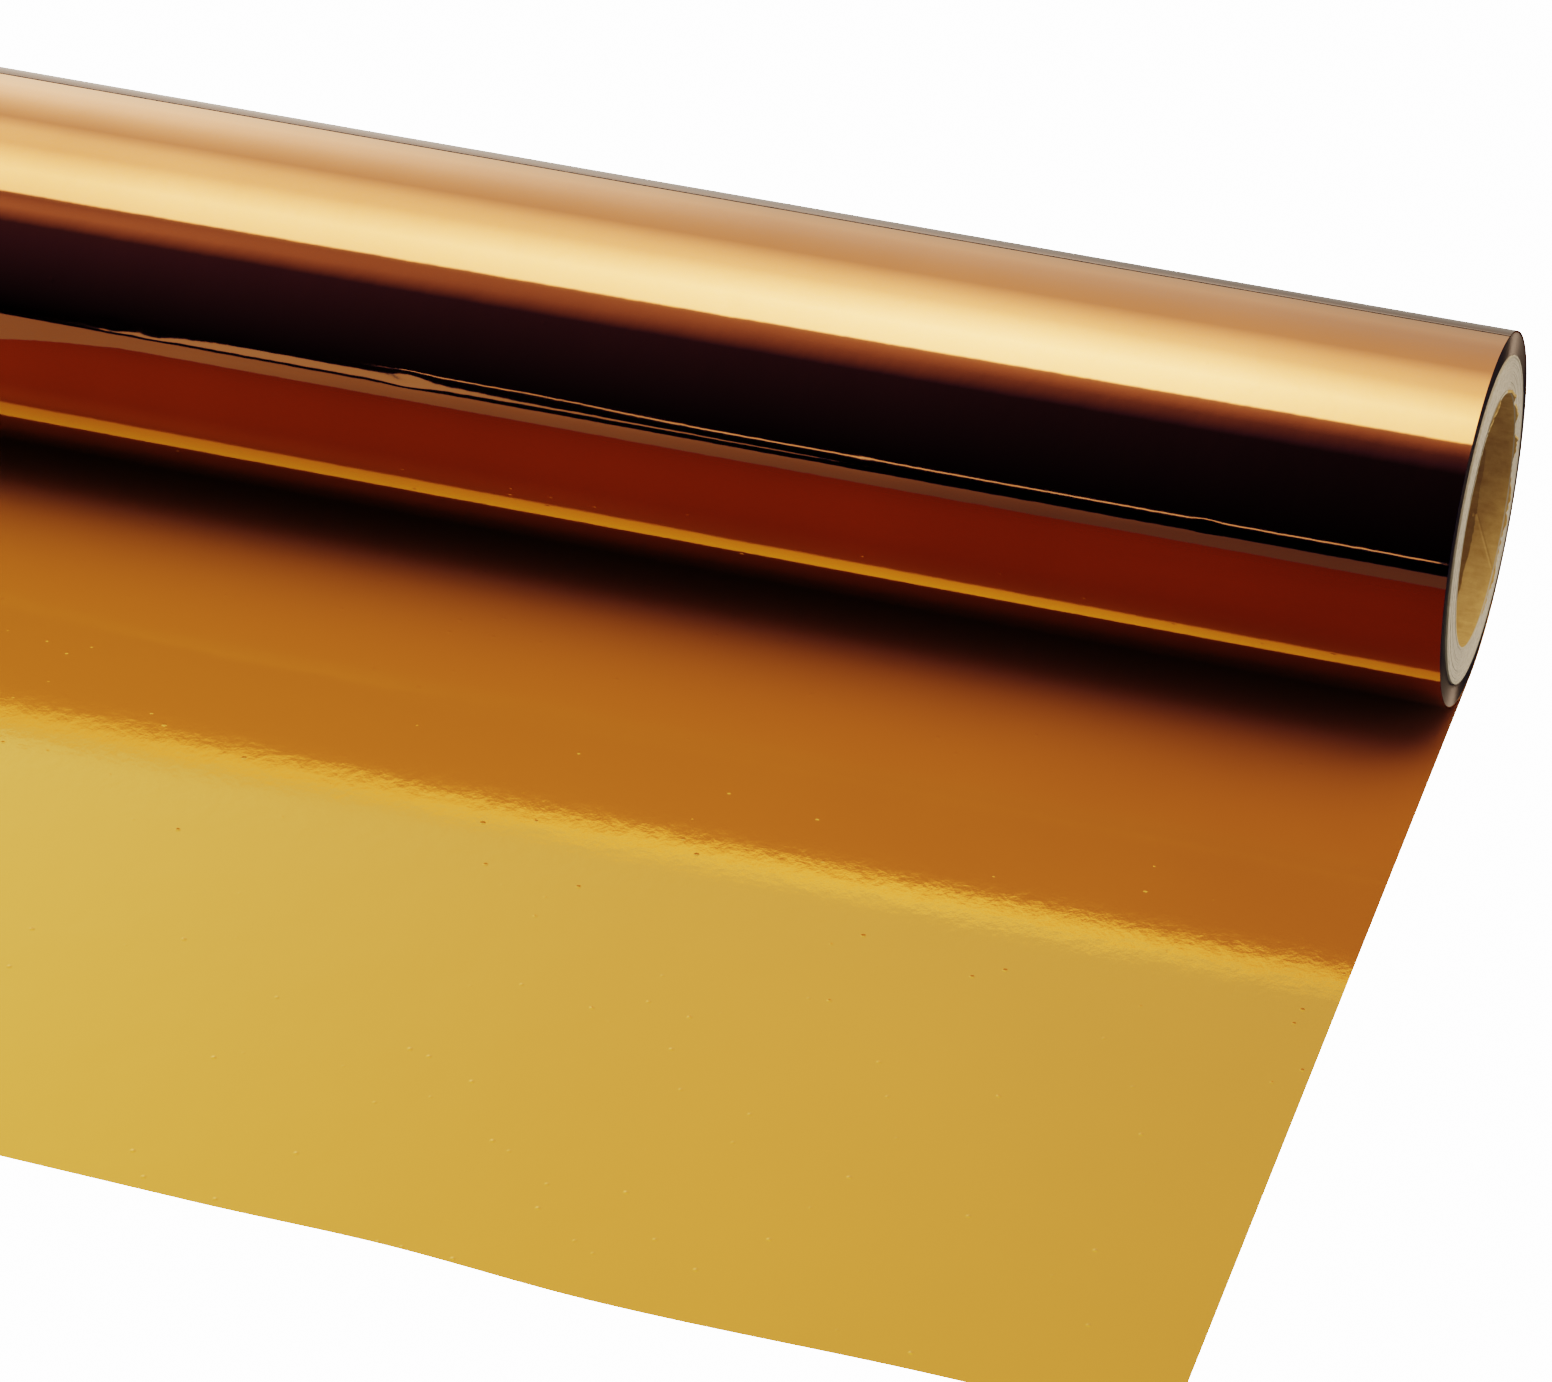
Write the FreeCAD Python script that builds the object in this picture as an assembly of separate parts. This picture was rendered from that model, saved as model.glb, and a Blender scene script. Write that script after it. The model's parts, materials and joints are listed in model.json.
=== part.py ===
"""Roll of copper-coloured adhesive film tape, 508 mm wide, on a spiral-wound paperboard core.

The web leaves the roll at its lowest line and lies on the surface in front of it.
Row frame: X is the core's axis, -Y is the way the web is drawn off, +Z is up.
The origin is the middle of the core's bore. All lengths are in millimetres.

Three bodies carry the solids:
  tail   the drawn-off web, which lies still on the surface
  wrap   the web's last turn round the roll, which travels with the roll and keeps its attitude
  roll   the core's plies and the wound web, which turn as the web is paid out
"""

import FreeCAD
import Part
import os

# Core: a 3 inch bore and a wall of equal plies, cut a little longer than the web is wide
BORE_RADIUS = 38.1
PLY_COUNT = 14
PLY_THICKNESS = 0.8
CORE_OVERHANG = 0.5

# Web: the slit width, and the film and adhesive as drawn, both thicker than the real web
WEB_WIDTH = 508.0
FILM_THICKNESS = 0.2
ADHESIVE_THICKNESS = 0.2

# Roll: its full radius, and the gap that lets the wound turns turn inside the last one
ROLL_RADIUS = 56.65
TURN_GAP = 0.3

# Tail: length from the roll's lowest line to the cut edge at each side, and its gap to the last turn
TAIL_LENGTH_RIGHT = 364.5
TAIL_LENGTH_LEFT = 346.0
TAIL_GAP = 0.3

# Worked out from the dimensions above
CORE_RADIUS = BORE_RADIUS + PLY_COUNT * PLY_THICKNESS
CORE_LENGTH = WEB_WIDTH + 2 * CORE_OVERHANG
WRAP_BOND_RADIUS = ROLL_RADIUS - FILM_THICKNESS
WRAP_INNER_RADIUS = WRAP_BOND_RADIUS - ADHESIVE_THICKNESS
WOUND_RADIUS = WRAP_INNER_RADIUS - TURN_GAP
SURFACE_Z = -ROLL_RADIUS

X_AXIS = FreeCAD.Vector(1, 0, 0)
OUT_FOLDER = "parts"


def rod(radius, length):
    """A solid cylinder about the core's axis, centred on the origin."""
    start = FreeCAD.Vector(-length / 2, 0, 0)
    return Part.makeCylinder(radius, length, start, X_AXIS)


def tube(outer_radius, inner_radius, length):
    """A plain tube about the core's axis. The cutting rod is longer, so that the ends come out clean."""
    clean_cut = 2.0
    return rod(outer_radius, length).cut(rod(inner_radius, length + clean_cut))


def core_plies():
    """The core's wall, from the kraft liner in the bore to the smooth ply under the web."""
    plies = {}
    for number in range(PLY_COUNT):
        inner = BORE_RADIUS + number * PLY_THICKNESS
        if number == 0:
            name = "core_bore_liner"
        elif number == PLY_COUNT - 1:
            name = "core_outer_ply"
        else:
            name = f"core_board_ply_{number:02d}"
        plies[name] = tube(inner + PLY_THICKNESS, inner, CORE_LENGTH)
    return plies


def wound_web():
    """All the turns of web between the core and the last turn, as one close-wound ring."""
    return tube(WOUND_RADIUS, CORE_RADIUS, WEB_WIDTH)


def last_turn():
    """The web's last turn: film outside, adhesive inside."""
    return {
        "wrap_film": tube(ROLL_RADIUS, WRAP_BOND_RADIUS, WEB_WIDTH),
        "wrap_adhesive": tube(WRAP_BOND_RADIUS, WRAP_INNER_RADIUS, WEB_WIDTH),
    }


def tail_layer(low_z, thickness):
    """One layer of the drawn-off web: a slab with a slightly skewed cut edge, hollowed to clear the roll."""
    half = WEB_WIDTH / 2
    corners = [
        FreeCAD.Vector(half, 0, low_z),
        FreeCAD.Vector(-half, 0, low_z),
        FreeCAD.Vector(-half, -TAIL_LENGTH_LEFT, low_z),
        FreeCAD.Vector(half, -TAIL_LENGTH_RIGHT, low_z),
    ]
    outline = Part.Face(Part.makePolygon(corners + corners[:1]))
    slab = outline.extrude(FreeCAD.Vector(0, 0, thickness))
    return slab.cut(rod(ROLL_RADIUS + TAIL_GAP, CORE_LENGTH))


def tail():
    """The drawn-off web. It leaves from under the roll, so the adhesive, inside on the roll, is on top."""
    return {
        "tail_film": tail_layer(SURFACE_Z, FILM_THICKNESS),
        "tail_adhesive": tail_layer(SURFACE_Z + FILM_THICKNESS, ADHESIVE_THICKNESS),
    }


def main():
    nodes = {**core_plies(), "wound_web": wound_web(), **last_turn(), **tail()}
    os.makedirs(OUT_FOLDER, exist_ok=True)
    for name, shape in nodes.items():
        if not shape.isValid() or len(shape.Solids) != 1:
            raise RuntimeError(f"{name} is not one valid solid")
        shape.Solids[0].exportStep(os.path.join(OUT_FOLDER, name + ".step"))
        print(f"{name}: {shape.Volume / 1000:.2f} cm3")


main()
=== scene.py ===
"""Blender scene for the roll of copper-coloured film tape on its spiral-wound paperboard core.

Everything is in metres and in the part's own frame: X is the core's axis, -Y is the way the free
web lies from the roll, +Z is up, and the origin is the middle of the bore.
"""

import bpy
import json
import math
import numpy as np
from mathutils import Matrix, Vector, noise


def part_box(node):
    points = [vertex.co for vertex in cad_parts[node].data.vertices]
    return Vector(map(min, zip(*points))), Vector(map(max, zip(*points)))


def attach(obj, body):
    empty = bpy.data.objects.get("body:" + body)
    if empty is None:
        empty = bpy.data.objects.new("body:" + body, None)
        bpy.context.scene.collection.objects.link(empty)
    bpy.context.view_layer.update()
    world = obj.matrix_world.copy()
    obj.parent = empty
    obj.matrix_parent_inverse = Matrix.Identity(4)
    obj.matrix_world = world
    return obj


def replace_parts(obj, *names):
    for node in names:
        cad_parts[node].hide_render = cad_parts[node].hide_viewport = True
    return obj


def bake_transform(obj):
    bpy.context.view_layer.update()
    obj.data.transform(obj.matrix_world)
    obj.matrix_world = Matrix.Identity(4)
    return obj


MM = 0.001

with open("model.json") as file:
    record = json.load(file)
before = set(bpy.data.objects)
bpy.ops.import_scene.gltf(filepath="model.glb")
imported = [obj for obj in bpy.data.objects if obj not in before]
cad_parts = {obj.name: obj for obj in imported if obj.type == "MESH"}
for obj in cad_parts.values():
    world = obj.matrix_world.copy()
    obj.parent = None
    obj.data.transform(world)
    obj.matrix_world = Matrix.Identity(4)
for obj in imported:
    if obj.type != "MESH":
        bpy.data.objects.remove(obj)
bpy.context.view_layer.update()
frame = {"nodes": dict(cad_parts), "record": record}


# ---------------------------------------------------------------- sizes read from the frame

def outer_radius(node):
    """A ring node's outer radius."""
    low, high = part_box(node)
    return (high.z - low.z) / 2


ROLL_RADIUS = outer_radius("wrap_film")
BOND_RADIUS = outer_radius("wrap_adhesive")
WOUND_RADIUS = outer_radius("wound_web")
CORE_RADIUS = outer_radius("core_outer_ply")
BORE_RADIUS = next(m["dims"]["r_mm"] for m in frame["record"]["mounts"] if m["kind"] == "bore") * MM
HALF_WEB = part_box("wrap_film")[1].x
HALF_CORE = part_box("core_bore_liner")[1].x
SURFACE_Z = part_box("tail_film")[0].z
TAIL_LENGTH = -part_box("tail_film")[0].y

PLIES = sorted(n for n in frame["nodes"] if n.startswith("core_board_ply_"))
PLY_THICKNESS = (CORE_RADIUS - BORE_RADIUS) / (len(PLIES) + 2)

# The web's real layers, thinner than the solids that stand for them
FILM = 0.04 * MM
ADHESIVE = 0.04 * MM
WEB = FILM + ADHESIVE


# ---------------------------------------------------------------- mesh building

def add_piece(name, points, quads, material, sharp=30):
    """A mesh object from arrays of points and quads, smooth but for edges over `sharp` degrees."""
    mesh = bpy.data.meshes.new(name)
    mesh.from_pydata(points.reshape(-1, 3).tolist(), [], quads.reshape(-1, 4).tolist())
    mesh.validate()
    mesh.shade_smooth()
    mesh.set_sharp_from_angle(angle=math.radians(sharp))
    mesh.materials.append(material)
    piece = bpy.data.objects.new(name, mesh)
    bpy.context.scene.collection.objects.link(piece)
    return piece


def closed_grid(rows, columns):
    """Quads of a grid that closes on itself both ways, over points indexed [row, column]."""
    index = np.arange(rows * columns).reshape(rows, columns)
    right = np.roll(index, -1, 1)
    return np.stack([index, np.roll(index, -1, 0), np.roll(right, -1, 0), right], -1)


def revolve(profile, segments, change=None, lead=math.inf):
    """Points and quads of a ring: a closed (x, r) profile turned about the X axis.

    The profile runs along +X on the ring's outside. `change` may shift x and r, given x, r and the
    angle, which is measured from +Y towards +Z. The mesh's rows wind back a turn in each `lead` of X.
    """
    profile = np.array(profile)
    angle, column = np.meshgrid(
        np.linspace(0, 2 * np.pi, segments, endpoint=False), np.arange(len(profile)), indexing="ij"
    )
    x, r = profile[column, 0], profile[column, 1]
    angle = angle - 2 * np.pi * x / lead
    if change:
        x, r = change(x, r, angle)
    points = np.stack([x, r * np.cos(angle), r * np.sin(angle)], -1)
    return points, closed_grid(segments, len(profile))


def ring_profile(inner, outer, half, columns=2, chamfer=0.0):
    """A tube wall's closed (x, r) profile, with `columns` points along the outside."""
    outside = [(x, outer) for x in np.linspace(chamfer - half, half - chamfer, columns)]
    if not chamfer:
        return outside + [(half, inner), (-half, inner)]
    right = [(half, outer - chamfer), (half, inner + chamfer), (half - chamfer, inner)]
    left = [(-x, r) for x, r in reversed(right)]
    return outside + right + left


def noise_field(points, size, seed):
    """Smooth noise from about -1 to 1 at each point, with features of about `size` metres."""
    offset = Vector((seed * 7.31, seed * 3.17, seed * 5.23))
    flat = points.reshape(-1, 3) / size
    values = [noise.noise(Vector(p) + offset) for p in flat]
    return np.array(values).reshape(points.shape[:-1])


# ---------------------------------------------------------------- materials

class Material:
    """A node material with one Principled shader, and short ways to add nodes to it."""

    def __init__(self, name, **values):
        self.material = bpy.data.materials.new(name)
        self.material.use_nodes = True
        self.tree = self.material.node_tree
        self.shader = next(n for n in self.tree.nodes if n.type == "BSDF_PRINCIPLED")
        self.place = self.add("ShaderNodeTexCoord").outputs["Object"]
        for socket, value in values.items():
            self.shader.inputs[socket.replace("_", " ")].default_value = value

    def add(self, kind, settings=None, **inputs):
        """A new node. Inputs are values, or other nodes' outputs to link."""
        node = self.tree.nodes.new(kind)
        for key, value in (settings or {}).items():
            setattr(node, key, value)
        for key, value in inputs.items():
            socket = node.inputs[int(key[1:])] if key[0] == "i" and key[1:].isdigit() else node.inputs[key]
            if isinstance(value, bpy.types.NodeSocket):
                self.tree.links.new(value, socket)
            else:
                socket.default_value = value
        return node

    def scaled(self, x, y, z):
        """The object's coordinates, stretched by a factor on each axis."""
        return self.add("ShaderNodeMapping", Vector=self.place, Scale=(x, y, z)).outputs["Vector"]

    def noise(self, scale, detail=2.0, roughness=0.5, place=None, distortion=0.0):
        node = self.add(
            "ShaderNodeTexNoise",
            Vector=place or self.place,
            Scale=scale,
            Detail=detail,
            Roughness=roughness,
            Distortion=distortion,
        )
        return node.outputs["Fac"]

    def ramp(self, fac, stops):
        """A colour ramp through (position, colour) stops."""
        node = self.add("ShaderNodeValToRGB", Fac=fac)
        elements = node.color_ramp.elements
        for element, (position, colour) in zip(elements, (stops[0], stops[-1])):
            element.position, element.color = position, (*colour, 1)
        for position, colour in stops[1:-1]:
            elements.new(position).color = (*colour, 1)
        return node.outputs["Color"]

    def math(self, operation, a, b=0.0):
        node = self.add("ShaderNodeMath", {"operation": operation}, i0=a, i1=b)
        return node.outputs["Value"]

    def between(self, value, low, high, to_low=0.0, to_high=1.0, smooth=True):
        """`value` mapped from low..high to to_low..to_high, and clamped."""
        settings = {"interpolation_type": "SMOOTHSTEP" if smooth else "LINEAR"}
        node = self.add("ShaderNodeMapRange", settings, Value=value)
        for socket, number in zip(("From Min", "From Max", "To Min", "To Max"), (low, high, to_low, to_high)):
            node.inputs[socket].default_value = number
        return node.outputs["Result"]

    def bump(self, heights):
        """Bumps the surface by each (height, size in metres), one on top of the other."""
        normal = None
        for height, size in heights:
            node = self.add("ShaderNodeBump", Height=height, Distance=size)
            if normal:
                self.tree.links.new(normal, node.inputs["Normal"])
            normal = node.outputs["Normal"]
        self.link(normal, "Normal")

    def link(self, output, socket):
        self.tree.links.new(output, self.shader.inputs[socket])

    def nibs(self, spacing, radius):
        """Sparse round specks: 1 at each speck's middle, 0 away from it."""
        cells = self.add("ShaderNodeTexVoronoi", Vector=self.place, Scale=1 / spacing)
        near = self.between(cells.outputs["Distance"], 0.0, radius / spacing, 1.0, 0.0)
        chosen = self.add("ShaderNodeSeparateColor", Color=cells.outputs["Color"]).outputs["Red"]
        return self.math("MULTIPLY", near, self.math("GREATER_THAN", chosen, 0.75))


def mirror_film():
    """The film's back: a dark copper mirror with a clear gloss over it, all but flat."""
    m = Material(
        "mirror_film",
        Metallic=1.0,
        Roughness=0.04,
        IOR=1.5,
        Coat_Weight=1.0,
        Coat_Roughness=0.02,
        Coat_IOR=1.31,
        Specular_Tint=(1.0, 0.97, 0.9, 1.0),
    )
    tint = m.noise(18.0, detail=3.0, place=m.scaled(1.0, 0.4, 0.4))
    m.link(m.ramp(tint, [(0.3, (0.285, 0.102, 0.028)), (0.7, (0.31, 0.112, 0.033))]), "Base Color")
    skin = m.noise(120.0, detail=2.0)
    m.bump([(skin, 0.02 * MM), (m.nibs(22 * MM, 1.4 * MM), 0.02 * MM)])
    return m.material


ROUGH_LINE_Y = -0.160  # the line across the free web where the adhesive's skin is roughest


def adhesive_skin():
    """The adhesive side: amber over the white table, wet-gloss, with a fine orange-peel skin, and painted
    shade that darkens it towards +X.
    """
    m = Material(
        "adhesive_skin",
        Roughness=0.06,
        IOR=2.05,
        Specular_Tint=(1.0, 0.81, 0.07, 1.0),
    )
    cloud = m.noise(9.0, detail=3.0)
    across = m.add("ShaderNodeSeparateXYZ", Vector=m.place).outputs["X"]
    # Painted shade: the web's colour is darker towards +X, where less light falls on it, with random tone
    # from the cloud on top
    painted_shade_slope = m.between(across, -HALF_WEB, HALF_WEB, 0.8, 0.0, smooth=False)
    tone_and_painted_shade = m.math("ADD", painted_shade_slope, m.math("MULTIPLY", cloud, 0.2))
    amber = [(0.10, (0.205, 0.070, 0.0130)), (0.35, (0.258, 0.090, 0.0160)), (1.0, (0.296, 0.111, 0.0172))]
    m.link(m.ramp(tone_and_painted_shade, amber), "Base Color")
    swell = m.noise(45.0, detail=1.0)
    peel = m.noise(230.0, detail=4.0, roughness=0.6, place=m.scaled(1.0, 0.8, 1.0))
    # The peel is strongest along one line across the web
    along = m.add("ShaderNodeSeparateXYZ", Vector=m.place).outputs["Y"]
    off_line = m.math("ABSOLUTE", m.math("ADD", along, -ROUGH_LINE_Y))
    peel = m.math("MULTIPLY", m.math("SUBTRACT", peel, 0.5), m.between(off_line, 0.012, 0.040, 1.0, 0.25))
    m.bump([(swell, 0.05 * MM), (peel, 0.048 * MM), (m.nibs(7 * MM, 1.0 * MM), 0.10 * MM)])
    return m.material


def slit_edges():
    """The wound turns' slit edges: dark glossy rings, which draw lights out into radial streaks."""
    m = Material("slit_edges", Metallic=0.9, Roughness=0.5, Anisotropic=1.0, Anisotropic_Rotation=0.395)
    tangent = m.add("ShaderNodeTangent", {"direction_type": "RADIAL", "axis": "X"})
    m.link(tangent.outputs["Tangent"], "Tangent")
    across = m.add("ShaderNodeVectorMath", {"operation": "LENGTH"}, i0=m.scaled(0.0, 1.0, 1.0))
    radius = across.outputs["Value"]
    turns = m.add("ShaderNodeCombineXYZ", X=m.math("MULTIPLY", radius, 1 / (0.15 * MM)))
    layer = m.noise(1.0, detail=1.0, place=turns.outputs["Vector"])
    m.link(m.ramp(layer, [(0.3, (0.15, 0.115, 0.095)), (0.7, (0.24, 0.195, 0.165))]), "Base Color")
    m.bump([(layer, 0.008 * MM)])
    return m.material


def paper(name, light, dark, grain, fibre, bump, cut=None):
    """Paper or board with flecks and long fibres, in two shades.

    `grain` and `fibre` are the flecks' and fibres' noise scales, and `cut` is the colour of the
    core's cut ends, short of the burr that stands out of them.
    """
    m = Material(name, Roughness=0.85, Specular_IOR_Level=0.25)
    fleck = m.noise(grain, detail=6.0, roughness=0.65)
    strand = m.noise(fibre, detail=4.0, roughness=0.6, place=m.scaled(0.25, 1.0, 1.0), distortion=0.6)
    both = m.math("ADD", m.math("MULTIPLY", fleck, 0.6), m.math("MULTIPLY", strand, 0.4))
    colour = m.ramp(both, [(0.35, dark), (0.65, light)])
    if cut:
        along = m.math("ABSOLUTE", m.add("ShaderNodeSeparateXYZ", Vector=m.place).outputs["X"])
        at_end = m.between(along, HALF_CORE - 0.3 * MM, HALF_CORE - 0.1 * MM)
        off_burr = m.between(along, HALF_CORE + 0.1 * MM, HALF_CORE + 0.3 * MM, 1.0, 0.0)
        at_end = m.math("MULTIPLY", at_end, off_burr)
        colour = m.add("ShaderNodeMixRGB", i0=at_end, i1=colour, i2=(*cut, 1)).outputs["Color"]
    m.link(colour, "Base Color")
    m.bump([(both, bump)])
    return m.material


def smooth_ply():
    return paper("smooth_ply", (0.42, 0.36, 0.27), (0.34, 0.28, 0.20), 600.0, 400.0, 0.02 * MM)


def chipboard():
    return paper("chipboard", (0.49, 0.418, 0.322), (0.355, 0.296, 0.224), 900.0, 500.0, 0.08 * MM)


def kraft():
    light, dark, cut = (0.50, 0.315, 0.122), (0.36, 0.210, 0.074), (0.42, 0.35, 0.25)
    return paper("kraft", light, dark, 260.0, 380.0, 0.06 * MM, cut)


# ---------------------------------------------------------------- the roll

ROUND = 360  # segments round a ring
SURFACE_COLUMNS = 255  # points along the roll's skin

# The skin's relief: faint waves all over, and two sets of shallow bands along X
SKIN_WAVE, LONG_BAND, SHORT_BAND = 0.012 * MM, 0.010 * MM, 0.004 * MM
LONG_PITCH, SHORT_PITCH = 0.083, 0.031

# Marks of grit under the film: x and height over the axis in metres, then half-length, half-width
# and depth in millimetres
SKIN_MARKS = [
    (-0.157, 0.0175, 5.0, 1.2, 0.05),
    (-0.143, 0.0170, 4.0, 1.0, 0.04),
    (-0.062, 0.0168, 6.0, 1.4, 0.05),
    (0.079, 0.0180, 1.6, 0.9, 0.025),
    (0.183, 0.0165, 3.0, 1.0, 0.05),
    (0.030, 0.0480, 3.0, 1.5, 0.03),
    (-0.110, -0.0100, 3.0, 1.5, 0.03),
]


def skin_relief(x, r, angle):
    """The last turn isn't quite round: shallow gauge bands, faint waves and a few marks, all inwards."""
    on_skin = r > ROLL_RADIUS - 0.01 * MM
    around = np.stack([x * 0.5, r * np.cos(angle), r * np.sin(angle)], -1)
    waves = noise_field(around, 0.035, seed=1) * SKIN_WAVE
    bands = np.sin(2 * np.pi * x / LONG_PITCH) * LONG_BAND
    bands = bands + np.sin(2 * np.pi * x / SHORT_PITCH + 1.3) * SHORT_BAND
    shift = waves + bands - (SKIN_WAVE + LONG_BAND + SHORT_BAND)
    for mark_x, mark_z, length, width, depth in SKIN_MARKS:
        along = (x - mark_x) / (length * MM)
        across = (r * np.sin(angle) - mark_z) / (width * MM)
        front = np.cos(angle) < 0
        shift = shift - front * depth * MM * np.exp(-(along**2 + across**2)) * (1 - 0.5 * along)
    return x, r + np.where(on_skin, shift, 0.0)


def last_turn_film(material):
    profile = ring_profile(BOND_RADIUS, ROLL_RADIUS, HALF_WEB, SURFACE_COLUMNS)
    piece = add_piece("last_turn_film", *revolve(profile, ROUND, skin_relief), material)
    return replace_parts(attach(piece, "wrap"), "wrap_film")


def last_turn_adhesive(material):
    profile = ring_profile(WOUND_RADIUS + 0.2 * MM, BOND_RADIUS - 0.01 * MM, HALF_WEB - 0.1 * MM)
    piece = add_piece("last_turn_adhesive", *revolve(profile, ROUND), material)
    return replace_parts(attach(piece, "wrap"), "wrap_adhesive")


def wound_turns(material):
    """The wound web. Its turns end at slightly different places, so its ends are finely stepped."""
    random = np.random.default_rng(7)
    steps = 28
    edges = np.linspace(CORE_RADIUS + 0.02 * MM, WOUND_RADIUS + 0.15 * MM, steps + 1)
    drift = np.sin(np.linspace(0.4, 5.2, steps)) * 0.03 * MM

    def end(sign):
        reach = HALF_WEB - 0.16 * MM + drift * sign + random.uniform(-0.006, 0.006, steps) * MM
        return [(sign * reach[i], edges[i + side]) for i in range(steps) for side in (0, 1)]

    profile = end(-1) + end(1)[::-1]
    piece = add_piece("wound_turns", *revolve(profile, ROUND), material)
    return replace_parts(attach(piece, "roll"), "wound_web")


# ---------------------------------------------------------------- the core

def butt_joint(place, depth):
    """A ply's two edges meet along a line that shows at the end face as a nick at the angle `place`."""
    def change(x, r, angle):
        gap = np.exp(-(((angle - place + np.pi) % (2 * np.pi) - np.pi) / 0.011) ** 2)
        return x - np.sign(x) * gap * depth, r
    return change


def board_plies(material):
    """The core's board plies, each cut a touch differently at the ends by the saw."""
    random = np.random.default_rng(21)
    for number, node in enumerate(PLIES, start=1):
        inner = BORE_RADIUS + number * PLY_THICKNESS
        half = HALF_CORE - random.uniform(0.02, 0.14) * MM
        seam = number * 2.4 % (2 * np.pi)
        profile = ring_profile(inner, inner + PLY_THICKNESS - 0.03 * MM, half, chamfer=0.05 * MM)
        points, quads = revolve(profile, ROUND, butt_joint(seam, 0.35 * MM))
        points[..., 0] += noise_field(points, 1.2 * MM, seed=number) * np.sign(points[..., 0]) * 0.03 * MM
        piece = add_piece(f"board_ply_{number:02d}", points, quads, material)
        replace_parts(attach(piece, "roll"), node)


def outer_ply(material):
    inner = CORE_RADIUS - PLY_THICKNESS
    profile = ring_profile(inner, CORE_RADIUS - 0.01 * MM, HALF_CORE, chamfer=0.06 * MM)
    piece = add_piece("smooth_outer_ply", *revolve(profile, ROUND, butt_joint(2.0, 0.3 * MM)), material)
    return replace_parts(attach(piece, "roll"), "core_outer_ply")


SEAM_LEAD = 118 * MM  # how far the liner's helical seam runs along the core in a turn
SEAM_DEPTH = 0.08 * MM
SEAM_HALF_ANGLE = 0.016
BURR = 1.2 * MM  # how far the burr's larger lumps stand out
LINER_ROUND, LINER_COLUMNS = 540, 176


def liner_relief(x, r, angle):
    """The liner's helical seam in the bore, and the ragged burr that the saw left at each end."""
    inside = r < BORE_RADIUS + 0.2 * PLY_THICKNESS
    turn = (x / SEAM_LEAD * 2 * np.pi + angle) % (2 * np.pi)
    seam = np.exp(-((np.minimum(turn, 2 * np.pi - turn)) / SEAM_HALF_ANGLE) ** 2) * SEAM_DEPTH
    at_end = np.clip((np.abs(x) - (HALF_CORE - 0.5 * MM)) / (0.4 * MM), 0, 1)
    rim = np.stack([np.sign(x) * 0.1, np.cos(angle) * BORE_RADIUS, np.sin(angle) * BORE_RADIUS], -1)
    lumps = np.clip(noise_field(rim, 6 * MM, seed=4) + 0.15, 0, 1)
    lumps = lumps + 0.8 * np.abs(noise_field(rim, 2.2 * MM, seed=5))
    far_side = np.clip(0.5 + 0.8 * np.cos(angle - 0.35), 0, 1)
    burr = at_end * lumps * far_side * BURR
    return x + np.sign(x) * burr, r + np.where(inside, seam, 0.0) + burr * 0.25


def bore_liner(material):
    half = HALF_CORE
    outer = BORE_RADIUS + PLY_THICKNESS - 0.03 * MM
    even = np.linspace(-half, half, LINER_COLUMNS)
    along = np.unique(np.concatenate([even, [-half + 0.5 * MM, half - 0.5 * MM]]))
    profile = [(-half, outer), (half, outer)] + [(x, BORE_RADIUS) for x in along[::-1]]
    piece = add_piece("bore_liner", *revolve(profile, LINER_ROUND, liner_relief, SEAM_LEAD), material)
    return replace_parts(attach(piece, "roll"), "core_bore_liner")


# ---------------------------------------------------------------- the free web

# How far the knife strayed from a straight cut: x and the stray along Y
KNIFE_STRAY = [(-0.254, 0.0), (-0.02, 0.0), (0.030, 0.0010), (0.098, -0.0018), (0.2, 0.0011), (0.254, 0.0)]


def cut_edge(x):
    """How far in front of the roll's lowest line the free web ends, at each x."""
    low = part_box("tail_film")[0]
    vertices = frame["nodes"]["tail_film"].data.vertices
    left = max(-v.co.y for v in vertices if v.co.x < low.x + MM)
    straight = np.interp(x, [-HALF_WEB, HALF_WEB], [left, TAIL_LENGTH])
    for (x0, stray0), (x1, stray1) in zip(KNIFE_STRAY, KNIFE_STRAY[1:]):
        ease = (1 - np.cos(np.pi * np.clip((x - x0) / (x1 - x0), 0, 1))) / 2
        straight = straight - (stray1 - stray0) * ease
    return straight


def web_layer(name, low, high, material):
    """One layer of the free web, from under the roll to the cut edge, between two heights over the table."""
    columns, rows = 255, 182
    start = math.sqrt(ROLL_RADIUS**2 - (ROLL_RADIUS - WEB) ** 2)
    x, v = np.meshgrid(np.linspace(-HALF_WEB, HALF_WEB, columns), np.linspace(0, 1, rows), indexing="ij")
    y = -(start + v * (cut_edge(x) - start))
    top = np.stack([x, y, np.full_like(x, SURFACE_Z + high)], -1)
    bottom = np.stack([x, y, np.full_like(x, SURFACE_Z + low)], -1)
    points = np.concatenate([top, bottom[:, ::-1]], 1)
    count = rows * 2
    index = np.arange(columns * count).reshape(columns, count)
    after = np.roll(index, -1, 1)
    skin = np.stack([index[:-1], after[:-1], after[1:], index[1:]], -1).reshape(-1, 4)
    near, far = np.arange(rows - 1), count - 1 - np.arange(rows - 1)
    left = np.stack([index[0][near], index[0][far], index[0][far - 1], index[0][near + 1]], -1)
    right = np.stack([index[-1][near], index[-1][near + 1], index[-1][far - 1], index[-1][far]], -1)
    return add_piece(name, points, np.concatenate([skin, left, right]), material)


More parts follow.
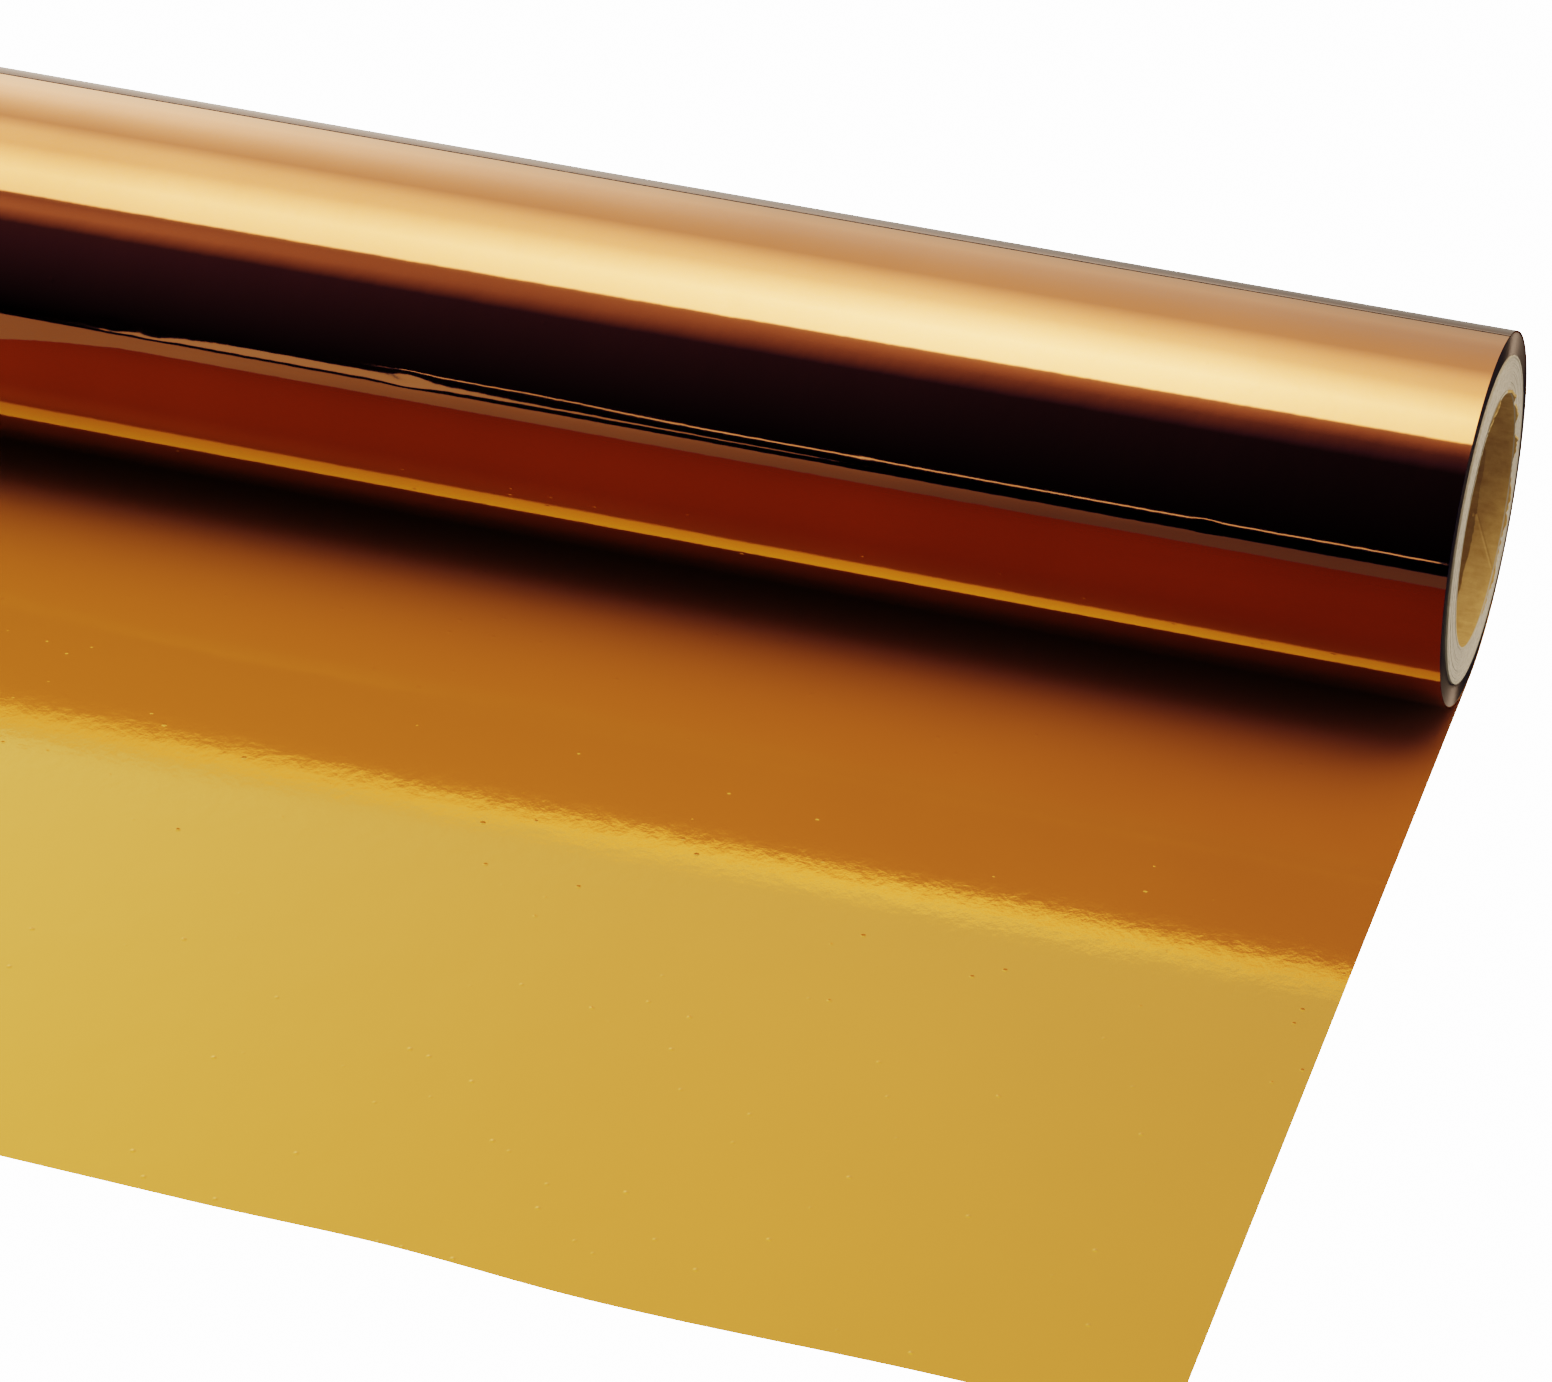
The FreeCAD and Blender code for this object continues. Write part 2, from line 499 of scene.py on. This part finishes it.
def free_web(film_material, adhesive_material):
    film = web_layer("free_web_film", 0.0, FILM, film_material)
    adhesive = web_layer("free_web_adhesive", FILM, WEB, adhesive_material)
    for piece, node, slot in ((film, "tail_film", "film_back"), (adhesive, "tail_adhesive", "adhesive")):
        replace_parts(piece, node)
        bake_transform(piece)


# ---------------------------------------------------------------- studio

# Light by direction: degrees from the front horizon up over the zenith to the back horizon, and radiance.
# A long softbox hangs over the roll with a sharp front edge, and the back wall is pale. The front is dark.
STUDIO_LIGHT = [
    (0, 0.0), (55, 0.1), (74, 1.2), (75, 9.0), (90, 11.5), (110, 5.0), (130, 1.8), (165, 1.6), (180, 1.0),
]
STUDIO_STRENGTH = 12.0  # the top of that ramp
STUDIO_TINT = [
    (0, (1, 0.72, 0.68)), (72, (1, 0.72, 0.68)), (75, (1.1, 0.99, 0.86)), (104, (1.1, 0.99, 0.86)),
    (126, (1, 0.92, 0.82)), (150, (1, 0.90, 0.80)), (168, (1, 0.80, 0.62)), (180, (1, 0.76, 0.56)),
]
TINT_TOP = 1.1

# Shares of that light by the direction's X, from SHARE_LEFT to SHARE_RIGHT: the softbox is brightest
# between them, and the wall and the front are brightest to the left
SHARE_LEFT, SHARE_RIGHT = -0.34, -0.14
SHARE_TOP = 2.5
SOFTBOX_SHARE = [(-0.34, 0.6), (-0.20, 1.0), (-0.14, 0.7)]
CEILING_SHARE = [(-0.34, 1.0), (-0.14, 0.9)]
WALL_SHARE = [(-0.34, 1.9), (-0.24, 1.0), (-0.14, 0.7)]
FRONT_SHARE = [(-0.34, 1.4), (-0.14, 0.3)]
SHARES = (FRONT_SHARE, SOFTBOX_SHARE, CEILING_SHARE, WALL_SHARE)
SHARE_CHANGES = ((0.36, 0.40), (0.60, 0.67), (0.72, 0.86))  # half-turns where each gives way to the next

# All of the light falls off towards both ends: the direction's X and what is left
STUDIO_WIDTH = [(-1.0, 0.12), (-0.36, 1.0), (-0.1, 1.0), (0.7, 0.35), (1.0, 0.2)]
TILT, TILT_MIDDLE = 0.4, -0.24  # the softbox's front edge runs a little askew
NEAR_LIGHT = 0.04  # half-turns by which the softbox looks nearer from under the roll
WHITE = 9.0  # radiance that the film response shows as plain white


def studio():
    """The light that falls on the part, and the plain white that the camera sees behind it."""
    world = bpy.data.worlds.new("studio")
    bpy.context.scene.world = world
    world.use_nodes = True
    tree = world.node_tree
    tree.nodes.clear()

    def add(kind, *links, **settings):
        node = tree.nodes.new(kind)
        for key, value in settings.items():
            setattr(node, key, value)
        for socket, value in enumerate(links):
            if isinstance(value, bpy.types.NodeSocket):
                tree.links.new(value, node.inputs[socket])
            elif value is not None:
                node.inputs[socket].default_value = value
        return node

    def calculate(operation, a, b, c=0.0):
        return add("ShaderNodeMath", a, b, c, operation=operation).outputs[0]

    def ramp_of(fac, stops, low, high, top):
        """A ramp through (value, level or colour) stops, with `fac` the value's place from low to high."""
        node = add("ShaderNodeValToRGB", fac)
        elements = node.color_ramp.elements
        while len(elements) < len(stops):
            elements.new(0.5)
        for element, (value, level) in zip(elements, stops):
            element.position = (value - low) / (high - low)
            element.color = (*(np.array(level) * np.ones(3) / top), 1)
        return node.outputs["Color"]

    direction = add("ShaderNodeTexCoord").outputs["Generated"]
    parts = add("ShaderNodeSeparateXYZ", direction).outputs
    path = add("ShaderNodeLightPath").outputs
    askew = calculate("MULTIPLY_ADD", parts["X"], TILT, -TILT * TILT_MIDDLE)
    forward = calculate("SUBTRACT", askew, parts["Y"])
    angle = calculate("DIVIDE", calculate("ARCTAN2", parts["Z"], forward), math.pi)
    # The softbox hangs close, so what lies under the roll sees more of it than the roll's mirror does
    angle = calculate("ADD", angle, calculate("MULTIPLY_ADD", path["Is Glossy Ray"], -NEAR_LIGHT, NEAR_LIGHT))
    light = ramp_of(angle, STUDIO_LIGHT, 0, 180, STUDIO_STRENGTH)

    across = add("ShaderNodeMapRange", parts["X"], SHARE_LEFT, SHARE_RIGHT, 0.0, 1.0).outputs[0]
    tint = ramp_of(angle, STUDIO_TINT, 0, 180, TINT_TOP)
    light = add("ShaderNodeMixRGB", 1.0, light, tint, blend_type="MULTIPLY").outputs[0]
    shares = [ramp_of(across, stops, SHARE_LEFT, SHARE_RIGHT, SHARE_TOP) for stops in SHARES]
    share = shares[0]
    for after, (low, high) in zip(shares[1:], SHARE_CHANGES):
        where = add("ShaderNodeMapRange", angle, low, high, 0.0, 1.0).outputs[0]
        share = add("ShaderNodeMixRGB", where, share, after).outputs[0]
    lit = add("ShaderNodeMixRGB", 1.0, light, share, blend_type="MULTIPLY").outputs[0]

    ends = ramp_of(calculate("MULTIPLY_ADD", parts["X"], 0.5, 0.5), STUDIO_WIDTH, -1, 1, 1)
    lit = add("ShaderNodeMixRGB", 1.0, lit, ends, blend_type="MULTIPLY").outputs[0]
    lit = add("ShaderNodeBackground", lit, STUDIO_STRENGTH * TINT_TOP * SHARE_TOP)
    white = add("ShaderNodeBackground", (1, 1, 1, 1), WHITE)
    mix = add("ShaderNodeMixShader", path["Is Camera Ray"], lit.outputs[0], white.outputs[0])
    add("ShaderNodeOutputWorld", mix.outputs[0])


def stage_sheet(name, corners, material):
    mesh = bpy.data.meshes.new(name)
    mesh.from_pydata(corners, [], [tuple(range(len(corners)))])
    mesh.materials.append(material)
    plane = bpy.data.objects.new(name, mesh)
    bpy.context.scene.collection.objects.link(plane)
    return plane


def glowing(name, radiance):
    """Plain light from a sheet's front, with nothing to see from its back."""
    material = bpy.data.materials.new(name)
    material.use_nodes = True
    tree = material.node_tree
    tree.nodes.clear()
    light = tree.nodes.new("ShaderNodeEmission")
    light.inputs["Strength"].default_value = radiance
    clear = tree.nodes.new("ShaderNodeBsdfTransparent")
    behind = tree.nodes.new("ShaderNodeNewGeometry")
    mix = tree.nodes.new("ShaderNodeMixShader")
    output = tree.nodes.new("ShaderNodeOutputMaterial")
    tree.links.new(behind.outputs["Backfacing"], mix.inputs[0])
    tree.links.new(light.outputs[0], mix.inputs[1])
    tree.links.new(clear.outputs[0], mix.inputs[2])
    tree.links.new(mix.outputs[0], output.inputs["Surface"])
    return material


TABLE_FRONT, TABLE_BACK, TABLE_LEFT = -0.95, 4, -3


def table():
    """The table that the part reflects and is lit by, and the white floor that the camera sees instead."""
    z = SURFACE_Z - 0.02 * MM
    matt = Material("table", Roughness=1.0, Specular_IOR_Level=0.0)
    across = matt.add("ShaderNodeSeparateXYZ", Vector=matt.place).outputs["X"]
    # Painted shade: the table's colour is darker towards +X, standing in for the light that falls off there
    matt.link(matt.between(across, -0.25, 0.07, 0.31, 0.14, smooth=False), "Base Color")
    front = [(TABLE_LEFT, TABLE_FRONT, z), (HALF_CORE, TABLE_FRONT, z)]
    back = [(HALF_CORE, TABLE_BACK, z), (TABLE_LEFT, TABLE_BACK, z)]
    top = stage_sheet("table", front + back, matt.material)
    top.visible_camera = False
    corners = [(-40, -40, z), (40, -40, z), (40, 40, z), (-40, 40, z)]
    floor = stage_sheet("floor", corners, glowing("white", WHITE))
    floor.visible_diffuse = floor.visible_glossy = floor.visible_shadow = floor.visible_transmission = False


# Two thin bright edges far in front of the table: x, height over the table's level, and depth of the strip
FAR_STRIPS = {
    "low": [
        (-1.0, -0.05, 0.05), (-0.9, -0.05, 0.20), (-0.8, -0.05, 0.20), (-0.7, 0.0, 0.05), (-0.5, 0.0, 0.01),
    ],
    "high": [(-0.8, 0.30, 0.02), (-0.7, 0.30, 0.02), (-0.6, 0.20, 0.03), (-0.1, 0.20, 0.03)],
}
STRIP_RADIANCE = {"low": 0.95, "high": 2.2}
FAR_STRIP_Y = -2.5


def far_strips():
    """Light edges far in front, which the roll's skin mirrors as fine lines."""
    for name, line in FAR_STRIPS.items():
        for number, ((x0, z0, w0), (x1, z1, w1)) in enumerate(zip(line, line[1:])):
            heights = ((x0, z0), (x0, z0 + w0), (x1, z1 + w1), (x1, z1))
            corners = [(x, FAR_STRIP_Y, SURFACE_Z + z) for x, z in heights]
            glow = glowing(f"far_{name}_{number}", STRIP_RADIANCE[name])
            strip = stage_sheet(f"far_strip_{name}_{number}", corners, glow)
            strip.visible_camera = strip.visible_diffuse = False


def end_cards():
    """Two cards to the right, one upright and one lying, which light the bore and the roll's end."""
    near, far, z = HALF_CORE, 1.0, SURFACE_Z + MM
    upright = [(far, -0.9, z + 0.5), (far, 0.3, z + 0.5), (far, 0.3, z), (far, -0.9, z)]
    lying = [(near, -0.4, z), (far, -0.4, z), (far, 0.6, z), (near, 0.6, z)]
    for name, corners, radiance in (("upright_card", upright, 2.4), ("lying_card", lying, 0.5)):
        card = stage_sheet(name, corners, glowing(name, radiance))
        card.visible_camera = card.visible_glossy = False


# ---------------------------------------------------------------- camera

AZIMUTH, ELEVATION, ROLL = 16.0742, 34.637, 1.4643  # degrees
DISTANCE = 2.24
TARGET = Vector((0.0381, 0.0, -0.1091))
LENS, SENSOR = 167.45, 36.0  # mm


def camera():
    """A long lens from the right and above, a touch out of level."""
    azimuth, elevation, roll = map(math.radians, (AZIMUTH, ELEVATION, ROLL))
    back = Vector(
        (
            math.sin(azimuth) * math.cos(elevation),
            -math.cos(azimuth) * math.cos(elevation),
            math.sin(elevation),
        )
    )
    level = Vector((math.cos(azimuth), math.sin(azimuth), 0))
    upright = back.cross(level)
    right = math.cos(roll) * level + math.sin(roll) * upright
    up = -math.sin(roll) * level + math.cos(roll) * upright
    data = bpy.data.cameras.new("camera")
    data.lens, data.sensor_width = LENS, SENSOR
    data.clip_start, data.clip_end = 0.05, 100
    made = bpy.data.objects.new("camera", data)
    turned = Matrix((right, up, back)).transposed().to_4x4()
    made.matrix_world = Matrix.Translation(TARGET + back * DISTANCE) @ turned
    bpy.context.scene.collection.objects.link(made)
    bpy.context.scene.camera = made


# The lift of blue in the deepest shadows: linear level and what it becomes
BLUE_LIFT = [(0.0, 0.0), (0.001, 0.006), (0.0039, 0.012), (0.02, 0.0235), (0.04, 0.04), (1.0, 1.0)]


def lift_shadows():
    """A grade for the camera's toe, which keeps the mirror's darkest reds from going pure red."""
    view = bpy.context.scene.view_settings
    view.use_curve_mapping = True
    curve = view.curve_mapping.curves[2]
    for level, becomes in BLUE_LIFT[1:-1]:
        curve.points.new(level, becomes)
    for point in curve.points:
        point.handle_type = "VECTOR"
    view.curve_mapping.update()


# ---------------------------------------------------------------- build

camera()
studio()
table()
far_strips()
end_cards()
bpy.context.scene.view_settings.view_transform = "Filmic"
bpy.context.scene.view_settings.look = "High Contrast"
lift_shadows()

film = mirror_film()
gum = adhesive_skin()
last_turn_film(film)
last_turn_adhesive(gum)
wound_turns(slit_edges())
board_plies(chipboard())
outer_ply(smooth_ply())
bore_liner(kraft())
free_web(film, gum)
